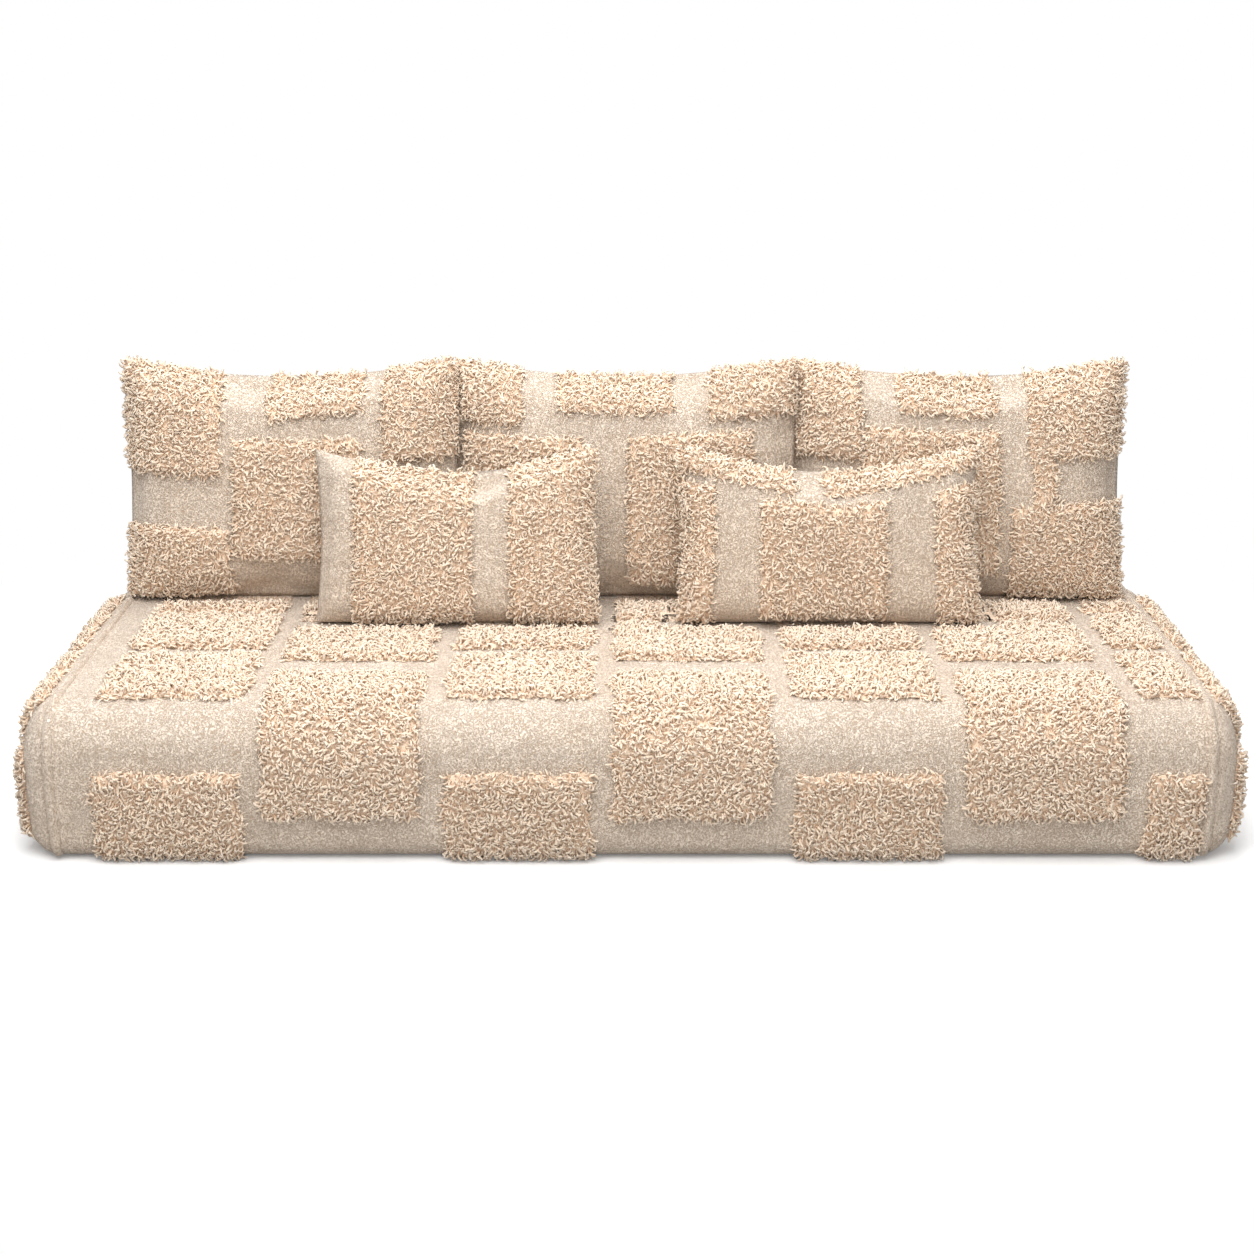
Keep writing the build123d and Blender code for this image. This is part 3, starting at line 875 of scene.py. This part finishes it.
def end_surface(side):
    """The end's surface, by how deep and how far round: an angle, or below 0 a way down."""
    panel = left_end if side < 0 else right_end

    def surface(depth, turn):
        found = np.empty(depth.shape + (3,))
        for index in np.ndindex(depth.shape):
            y, angle = depth[index], turn[index]
            round_it, down = max(angle, 0), min(angle, 0)
            way = Vector((side * math.cos(round_it), 0, math.sin(round_it)))
            start = Vector((side * arc_place, y, arc_height + down)) + way * ray_start
            hit, place, *_ = panel.ray_cast(start, -way)
            found[index] = place if hit else start - way * ray_miss
        return found

    return surface


def end_beds(side):
    beds = []
    for (low, high), turn in end_patches:
        depth = (low * mattress_depth - half_depth, high * mattress_depth - half_depth)
        size = (depth[1] - depth[0], arc_radius * turn[1] - turn[0])
        droop = np.array([side * 0.1, 0, -0.45])
        beds.append(bed_net(end_surface(side), depth if side > 0 else depth[::-1], turn, size, droop, full_growth,
                            (-9, 9, *turn)))
    return beds


for side, word, seed in ((-1, "left", 21), (1, "right", 22)):
    pile_piece(f"{word}_end", end_beds(side), "mattress", seed, mattress_room)

# %% [markdown]
# ## A cushion
# A real cushion is two flat panels sewn together at their edges and then stuffed, which is
# why it is thick in the middle and thin at the seam, why its sides pull in between its
# corners, and why the corners stand out as ears. The two panels are drawn as nets with a
# shared edge, a little under full. The cloth simulation then fills them with pressure, and
# each point is held within the room that the solid gives it. Where two back cushions meet,
# the left one's edge is then pushed in front and the right one's behind it, as the photo
# shows them, which takes these two edges a little outside their solids.

# %% Frame of a cushion
rest_height = pressed_top + 0.0004
stand_gap = 0.0005
seam_half = 0.003
side_power = 1.6
crown_power = 5.0
edge_meets, edge_passes, edge_share = 0.0145, 0.018, 0.66


def crown(off, reach, fat):
    """Half the thickness of a crowned solid, at a distance from its middle."""
    bow = (reach**2 + fat**2) / (2 * fat)
    return np.sqrt(np.maximum(bow**2 - off**2, 0)) - (bow - fat)


class Cushion:
    def __init__(self, name, place, seat, lean, width, height, thickness, top_dip, side_dip, sink):
        self.name, self.width, self.height, self.thickness = name, width, height, thickness
        self.top_dip, self.side_dip, self.sink = top_dip, side_dip, sink
        self.meets = (name in ("middle_back", "right_back"), name in ("left_back", "middle_back"))
        tilt = math.radians(lean)
        self.origin = np.array([place, seat, rest_height])
        self.axes = np.array([(1, 0, 0), (0, math.sin(tilt), math.cos(tilt)), (0, -math.cos(tilt), math.sin(tilt))])
        self.centre = height / 2 - sink

    def world(self, local):
        return self.origin + local @ self.axes

    def local(self, points):
        return (points - self.origin) @ self.axes.T

    def pressed(self, points):
        """Where two cushions meet, the left one's edge passes in front and the right one's behind."""
        x, y, z = points.T
        meets = np.where(x > 0, *self.meets[::-1])
        near = smooth_step((np.abs(x) / (self.width / 2) - edge_share) / (1 - edge_share)) * meets
        wider = edge_meets + self.width / 2 - self.half_width_at(y)
        return np.stack([x + np.sign(x) * wider * near, y, z + np.sign(x) * edge_passes * near], 1)

    def half_width_at(self, y):
        """The solid's half width at a height along the cushion."""
        off = np.clip(np.abs((y - self.centre) / (self.height / 2)), 0, 1)
        return self.width / 2 - self.side_dip * (1 - off**side_power)

    def top_at(self, x):
        off = np.clip(np.abs(x / (self.width / 2)), 0, 1)
        return self.height - self.sink - self.top_dip * (1 - off**2)

    def to_edge(self, x, y):
        """How far a place is from the nearest edge of the cushion."""
        return np.minimum(self.half_width_at(y) - np.abs(x), np.minimum(self.top_at(x) - y, y + self.sink))

    def room(self, x, y):
        """Half the thickness that the solid has at a place on the cushion."""
        upright = crown(y - self.centre, self.height / 2 + 0.09, self.thickness / 2)
        level = crown(x, self.width / 2 + 0.09, self.thickness / 2 + 0.014)
        slope = seam_half + 1.25 * np.maximum(self.to_edge(x, y), 0)
        return (upright**-crown_power + level**-crown_power + slope**-crown_power) ** (-1 / crown_power)

    def outline(self, u, v):
        """A place on the panel, by its share across and its share up."""
        half = self.width / 2 - self.side_dip * (1 - np.abs(2 * v - 1) ** side_power) - 0.0005
        return u * half, -self.sink + v * (self.height - self.top_dip * (1 - u**2))


# %% Panels of a cushion
cloth_cell = 0.0112


def panel_net(cushion):
    """The two panels, sewn at their edge: points, faces, and the net of the front panel."""
    count_u, count_v = (int(round(length / cloth_cell)) + 1 for length in (cushion.width, cushion.height))
    u, v = np.meshgrid(np.linspace(-1, 1, count_u), np.linspace(0, 1, count_v), indexing="ij")
    x, y = cushion.outline(u, v)
    start = 0.86 * cushion.room(x, y) * (1 - 0.25 * np.abs(u) ** 6) * (1 - 0.25 * np.abs(2 * v - 1) ** 6)
    edge = (np.abs(u) == 1) | (v == 0) | (v == 1)
    thick = np.where(edge, 0, start)
    front = np.stack([x, y, thick], -1).reshape(-1, 3)
    front_index = np.arange(count_u * count_v).reshape(count_u, count_v)
    back_index = front_index.copy()
    back_index[~edge] = np.arange((~edge).sum()) + len(front)
    back = np.stack([x, y, -thick], -1)[~edge]
    quads = np.concatenate([net_quads(front_index), net_quads(back_index)[:, ::-1]])
    return np.concatenate([front, back]), quads, front_index, np.append(edge.ravel(), np.zeros(len(back), bool))


# %% Filling a cushion by simulation
cloth_settings = {"quality": 6, "mass": 0.25, "tension_stiffness": 80, "compression_stiffness": 80,
                  "shear_stiffness": 20, "bending_stiffness": 1.0, "use_pressure": True,
                  "uniform_pressure_force": 4, "shrink_min": -0.035}
cloth_frames = 20
most_move, most_seam_move = 0.026, 0.0015


def stuffed(cushion, points, quads, edge_points):
    """The points after the cloth is filled by pressure, none moved further than its most."""
    trial = object_from("trial", cushion.world(points), quads.tolist())
    cloth = trial.modifiers.new("Cloth", "CLOTH")
    for name, value in cloth_settings.items():
        setattr(cloth.settings, name, value)
    cloth.settings.effector_weights.gravity = 0
    cloth.collision_settings.use_collision = False
    scene = bpy.context.scene
    for number in range(1, cloth_frames + 1):
        scene.frame_set(number)
    seen = trial.evaluated_get(bpy.context.evaluated_depsgraph_get())
    filled = cushion.local(places(seen.data))
    scene.frame_set(1)
    bpy.data.objects.remove(trial)
    moved = filled - points
    moved *= most_move / max(most_move, np.linalg.norm(moved, axis=1).max())
    length = np.linalg.norm(moved, axis=1)
    limit = np.where(edge_points, most_seam_move, most_move)
    mean, most = (round(float(value) * 1000, 1) for value in (length.mean(), length.max()))
    print(cushion.name, "filled, mean move", mean, "mm, most", most)
    return points + moved * np.minimum(1, limit / np.maximum(length, 1e-9))[:, None]


def kept_in_room(cushion, points, gap=0.0004):
    """Holds points inside the outline and the crown of the solid."""
    x, y, z = points.T
    y = np.clip(y, -cushion.sink, None)
    half = cushion.half_width_at(y) - gap
    x = np.clip(x, -half, half)
    y = np.minimum(y, cushion.top_at(x) - gap)
    room = cushion.room(x, y) - gap
    z = np.clip(z, -room, room)
    return np.stack([x, y, z], 1)


# %% [markdown]
# ## Small marks of use
# A stuffed cushion is never smooth: it has shallow dents where the filling has shifted,
# short puckers that run in from the seam, and the first dimple below the dip of its top.
# These are added as small moves along the thickness, with their own pattern on each.


# %% Marks of use
slow_swell, pucker_depth, dimple_depth = 0.0020, 0.0028, 0.007


def marks(cushion, points, seed):
    x, y, z = points.T
    across, up = x / (cushion.width / 2), (y - cushion.centre) / (cushion.height / 2)
    body = np.clip(1 - np.maximum(np.abs(across), np.abs(up)) ** 4, 0, 1)
    slow = (np.sin(9 * x + 4 * y + seed) + np.sin(15 * y - 7 * x + 2.1 * seed)
            + 0.7 * np.sin(19 * x + 21 * y + 3.3 * seed))
    edge = cushion.to_edge(x, y)
    round_it = np.where(1 - np.abs(across) < 1 - np.abs(up), y, x)
    pucker = np.sin(round_it * 105 + 2 * np.sin(round_it * 31 + seed)) * np.exp(-np.maximum(edge, 0) / 0.03)
    pucker = pucker * smooth_step(edge / 0.012)
    dimple = np.exp(-(((x - 0.01 * seed) / 0.035) ** 2) - ((cushion.top_at(x) - y - 0.03) / 0.028) ** 2)
    move = slow_swell * slow * body + pucker_depth * pucker - dimple_depth * dimple
    return np.stack([x, y, z + np.sign(z) * move * smooth_step(np.abs(z) / 0.006)], 1)


def seated(cushion, points):
    """Flattens the foot of a cushion where it stands on the mattress."""
    world = cushion.world(cushion.pressed(points))
    world[:, 2] = np.maximum(world[:, 2], rest_height + stand_gap)
    return world


# %% The five cushions
back_sizes = {"lean": 12, "width": 0.600, "height": 0.450, "thickness": 0.156, "top_dip": 0.028,
              "side_dip": 0.006, "sink": 0.015}
lumbar_sizes = {"lean": 15, "height": 0.322, "thickness": 0.106, "top_dip": 0.040, "side_dip": 0.010, "sink": 0.012}
cushions = [Cushion(f"{word}_back", row_place + step * back_pitch, back_seat, **back_sizes)
            for step, word in ((-1, "left"), (0, "middle"), (1, "right"))]
cushions += [Cushion(f"{word}_lumbar", place, lumbar_seat, width=width, **lumbar_sizes)
             for word, (place, width) in lumbar_places.items()]

# %% [markdown]
# ## Flat under the zip
# Low on the back of each cushion a zip is sewn in, and the cloth is flat along it. The
# tape's own solid says where: the points of the cover near it are moved onto its plane, and
# the move fades out around it.


# %% Cloth meets the zip tape
cloth_under_tape = 0.0005
tape_half_width = 0.0075


def tape_frame(node):
    """A tape's middle, its half length, its normal, the way across it and the height of its underside."""
    tape = places(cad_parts[node].data)
    middle = (tape.max(0) + tape.min(0)) / 2
    flat = tape - middle
    axes = np.linalg.eigh(flat[:, 1:].T @ flat[:, 1:])[1]
    normal, across = np.array([0, *axes[:, 0]]), np.array([0, *axes[:, 1]])
    normal *= np.sign(normal[1])
    return middle, np.ptp(tape[:, 0]) / 2, normal, across, (flat @ normal).min()


def on_tape(world, node, fade=0.03):
    """Moves the cloth near a tape onto the tape's plane."""
    middle, reach, normal, across, low = tape_frame(node)
    plane = low + cloth_under_tape
    out = (world - middle) @ normal
    near = np.maximum(np.abs(world[:, 0] - middle[0]) - reach, np.abs((world - middle) @ across) - tape_half_width)
    share = (1 - smooth_step(near / fade)) * (np.abs(out) < 0.06)
    print(node, "plane of the cloth at", round(float(plane), 4), "m from its middle")
    return world + normal * ((plane - out) * share)[:, None]


# %% Make, fill and place the cushions
seam_crease = 0.7
filling_gap = 0.0045
filling_share = (0.975, 0.97, 1)


def place_cushion(cushion, seed):
    points, quads, front_index, edge_points = panel_net(cushion)
    points = stuffed(cushion, points, quads, edge_points)
    points = kept_in_room(cushion, marks(cushion, kept_in_room(cushion, points, 0.0012), seed))
    world = on_tape(seated(cushion, points), f"{cushion.name}_zip_tape")
    cover = object_from(f"{cushion.name}_cover_cloth", world, quads.tolist())
    filling = object_from(f"{cushion.name}_filling_fibre", world, quads.tolist())
    crease = cover.data.attributes.new("crease_edge", "FLOAT", "EDGE")
    ends = np.empty(len(cover.data.edges) * 2, int)
    cover.data.edges.foreach_get("vertices", ends)
    crease.data.foreach_set("value", edge_points[ends.reshape(-1, 2)].all(1) * seam_crease)
    round_up = cover.modifiers.new("Round", "SUBSURF")
    round_up.levels = round_up.render_levels = 1
    settled(cover)
    inner = cushion.local(places(filling.data) - filling_gap * outward(filling.data))
    middle = np.array([0, cushion.centre, 0])
    set_places(filling.data, cushion.world(middle + (inner - middle) * filling_share))
    for piece, material, slot, part in ((cover, base_cloth, "base_cloth", "cover"),
                                        (filling, fibre_filling, "fibre_filling", "filling")):
        finish_piece(piece, material, cushion.name)
        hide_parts(f"{cushion.name}_{part}")
    return world[front_index]


fronts = {c.name: place_cushion(c, seed + 1.0) for seed, c in enumerate(cushions)}

# %% [markdown]
# ## The pile of the cushions
# Each cushion has its own arrangement of rectangles, cut from the same patterned cloth, so
# some run off its edge. Their places are shares of the cushion's width from its middle and
# of its height from its foot. A bed looks up the cushion's own filled surface by these.

# %% Rectangles of each cushion
rectangles = {
    "left_back": ((-0.55, -0.19, 0.55, 1.1), (-0.057, 0.245, 0.82, 1.1), (0.30, 0.55, 0.60, 1.1),
                  (-0.157, 0.237, 0.195, 0.715), (-0.55, -0.167, -0.1, 0.338), (0.30, 0.55, -0.1, 0.338)),
    "middle_back": ((-0.55, -0.31, 0.753, 1.1), (-0.205, 0.147, 0.827, 1.1), (0.257, 0.55, 0.782, 1.1),
                    (-0.477, -0.125, 0.195, 0.72), (0.007, 0.388, 0.073, 0.735)),
    "right_back": ((-0.55, -0.317, 0.61, 1.1), (-0.21, 0.10, 0.827, 1.1), (0.192, 0.55, 0.61, 1.1),
                   (-0.312, 0.107, 0.131, 0.755), (0.21, 0.283, 0.40, 0.65), (0.143, 0.55, -0.1, 0.431),
                   (-0.55, -0.38, -0.1, 0.30)),
    "left_lumbar": ((-0.365, 0.063, -0.1, 1.1), (0.195, 0.55, -0.1, 1.1)),
    "right_lumbar": ((-0.55, -0.11, 0.86, 1.1), (-0.02, 0.55, 0.88, 1.1), (-0.55, -0.39, -0.1, 0.815),
                     (-0.235, 0.193, 0.07, 0.80), (0.355, 0.55, -0.1, 0.797)),
}


# %% Grow the pile of the cushions
past_left, past_right = 0.0025, 0.0085


def front_surface(net):
    """Looks up the front of a cushion by shares across and up."""
    count_u, count_v = net.shape[:2]

    def surface(u, v):
        a, b = (u + 1) / 2 * (count_u - 1), v * (count_v - 1)
        i, j = np.clip(a.astype(int), 0, count_u - 2), np.clip(b.astype(int), 0, count_v - 2)
        s, t = (a - i)[..., None], (b - j)[..., None]
        return (net[i, j] * (1 - s) * (1 - t) + net[i + 1, j] * s * (1 - t)
                + net[i, j + 1] * (1 - s) * t + net[i + 1, j + 1] * s * t)

    return surface


def cushion_pile(cushion, seed):
    surface = front_surface(fronts[cushion.name])
    in_u, in_v = 2 * backing_edge / cushion.width, backing_edge / cushion.height
    beds = []
    for left, right, low, high in rectangles[cushion.name]:
        u = (max(2 * left + in_u, -1), min(2 * right - in_u, 1))
        v = (max(low + in_v, cushion.sink / cushion.height + 0.01), min(high - in_v, 1))
        size = ((u[1] - u[0]) * cushion.width / 2, (v[1] - v[0]) * cushion.height)
        droop = cushion.axes[1] * -0.40
        beds.append(bed_net(surface, u, v, size, droop, full_growth, (-1, 1, 0.02, 1)))
    low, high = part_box(f"{cushion.name}_tufts")
    left, right = low.x - past_left * cushion.meets[0], high.x + past_right * cushion.meets[1]

    def room(points):
        points[:, 0] = np.clip(points[:, 0], left, right)
        points[:, 2] = np.maximum(points[:, 2], rest_height + stand_gap)
        return points

    pile_piece(cushion.name, beds, cushion.name, seed, room)


for seed, cushion in enumerate(cushions):
    cushion_pile(cushion, seed + 31)

# %% [markdown]
# ## The zips
# A woven tape with a row of moulded teeth is sewn low on the back of every cover, and one
# small metal slider closes it. The solids have the tape with a plain ridge, and the slider
# as a channel over it. Geometry Nodes sets the teeth on the ridge, left and right in turn.

# %% Zip materials
zip_tape, tree, shader = new_material("Woven zip tape")
weave = put(tree, "ShaderNodeTexWave", {"Vector": object_place(tree), "Scale": 260.0, "Distortion": 0.4},
            bands_direction="DIAGONAL").outputs["Fac"]
feed(tree, shader, {"Base Color": mixed(tree, weave, (0.50, 0.40, 0.30, 1), (0.66, 0.55, 0.44, 1)),
                    "Roughness": 0.85, "Normal": bump(tree, 0.5, 0.0003, weave)})

zip_metal, tree, shader = new_material("Nickel zip metal")
rubbed = put(tree, "ShaderNodeTexNoise", {"Vector": object_place(tree), "Scale": 700.0, "Detail": 4.0}).outputs[0]
feed(tree, shader, {"Base Color": mixed(tree, rubbed, (0.52, 0.50, 0.47, 1), (0.70, 0.68, 0.64, 1)),
                    "Metallic": 1.0, "Roughness": mapped(tree, rubbed, new_low=0.25, new_high=0.5)})

# %% Geometry Nodes: zip teeth
teeth, given = new_geometry_tree("Zip teeth", {"Pitch": 0.0021, "Tooth width": 0.0024, "Tooth length": 0.0014,
                                               "Tooth height": 0.0013, "Side step": 0.0006}, "Line")
turn = put(teeth, "FunctionNodeAxisAngleToRotation", {"Axis": (1, 0, 0), "Angle": named(teeth, "slope")})
tooth_size = (given["Tooth length"], given["Tooth width"], given["Tooth height"])
set_teeth = beads(teeth, points_along(teeth, given["Line"], given["Pitch"]), 0.58, tooth_size, turn)
swing = mapped(teeth, maths(teeth, "MODULO", put(teeth, "GeometryNodeInputIndex"), 2.0), new_low=-1.0)
side_way = put(teeth, "ShaderNodeCombineXYZ", {1: maths(teeth, "MULTIPLY", swing, given["Side step"])})
stepped = put(teeth, "GeometryNodeTranslateInstances", {"Instances": set_teeth, "Translation": side_way,
                                                        "Local Space": True})
send(teeth, put(teeth, "GeometryNodeRealizeInstances", {"Geometry": stepped}), given["Finish"])

# %% Fit the zips
ridge_height, teeth_lift = 0.0018, 0.0007
teeth_margin = 0.009
teeth_points = 60

for body in ["mattress", *(cushion.name for cushion in cushions)]:
    name = f"{body}_zip"
    for part, material in (("tape", zip_tape), ("slider", zip_metal)):
        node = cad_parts[f"{name}_{part}"]
        node.data.materials.clear()
        node.data.materials.append(material)
    middle, reach, normal, across, low = tape_frame(f"{name}_tape")
    face = middle + normal * (low + ridge_height)
    steps = np.linspace(-reach + teeth_margin, reach - teeth_margin, teeth_points)
    line = line_object("tooth_line", [face + (x, 0, 0) + normal * teeth_lift for x in steps])
    slope = math.atan2(normal[2], normal[1]) - math.pi / 2
    store(line.data, "slope", np.full(teeth_points, slope))
    finish_piece(grown(line, teeth, f"{name}_teeth", zip_metal), zip_metal, body)

# %% [markdown]
# ## Floor and light
# The photograph is a plain studio picture: a white ground that fades into a white wall, and
# soft light from above, from behind and in front. The floor keeps the sofa's shadow. The
# camera sees it nearly white, with a little white of its own, and pure white further away,
# while the sofa is lit by a greyer floor, so that its underside isn't flooded with light.
# The world is white to the camera, and softer for the light that it gives.

# %% Floor, world and lamps
floor_reach = 60.0
corners = ((-1, -1), (1, -1), (1, 1), (-1, 1))
floor = object_from("floor", [(floor_reach * x, floor_reach * y, 0) for x, y in corners], [(0, 1, 2, 3)])
ground, tree, shader = new_material("Pale studio floor")
seen_by = put(tree, "ShaderNodeLightPath").outputs["Is Camera Ray"]
own_white = mixed(tree, seen_by, (0, 0, 0, 1), (0.10, 0.10, 0.10, 1))
feed(tree, shader, {"Base Color": mixed(tree, seen_by, (0.42, 0.41, 0.40, 1), (0.90, 0.90, 0.90, 1)),
                    "Roughness": 0.9, "Emission Color": own_white, "Emission Strength": 1.0})
squeezed = vector_maths(tree, "MULTIPLY", object_place(tree), (0.65, 1.0, 0.0))
away = vector_maths(tree, "LENGTH", squeezed).outputs["Value"]
faded = mapped(tree, away, 0.75, 1.5, interpolation_type="SMOOTHSTEP")
glow = put(tree, "ShaderNodeEmission", {"Color": white, "Strength": 1.0})
both = put(tree, "ShaderNodeMixShader", {0: maths(tree, "MULTIPLY", faded, seen_by), 1: shader, 2: glow})
feed(tree, tree.nodes["Material Output"], {"Surface": both})
floor.data.materials.append(ground)
floor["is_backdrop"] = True

world = bpy.data.worlds.new("Studio")
world.use_nodes = True
bpy.context.scene.world = world
tree = world.node_tree
path = put(tree, "ShaderNodeLightPath").outputs
seen_plainly = maths(tree, "MAXIMUM", path["Is Camera Ray"], path["Is Glossy Ray"])
feed(tree, tree.nodes["Background"], {"Strength": mapped(tree, seen_plainly, new_low=0.44), "Color": white})


def soft_lamp(name, place, target, size, power):
    data = bpy.data.lights.new(name, "AREA")
    data.shape = "SQUARE"
    data.size = size
    data.energy = power
    lamp = in_scene(name, data)
    lamp.location = place
    lamp.rotation_euler = (Vector(target) - Vector(place)).to_track_quat("-Z", "Y").to_euler()


soft_lamp("Overhead softbox", (-0.4, -1.5, 3.2), (0, 0, 0.1), 3.0, 126)
soft_lamp("Rear softbox", (0.2, 1.1, 3.2), (0, 0, 0.2), 2.6, 80)
soft_lamp("Front softbox", (0.5, -4.2, 1.2), (0, 0, 0.2), 2.4, 38)
bpy.context.scene.view_settings.view_transform = "Standard"

# %% [markdown]
# ## Sizes, and the end
# The bounds of the dressed model are worked out and printed. The dressed model may
# stand only a little outside the solids.

# %% Finish
low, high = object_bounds()
print("dressed from", [round(v, 3) for v in low], "to", [round(v, 3) for v in high])
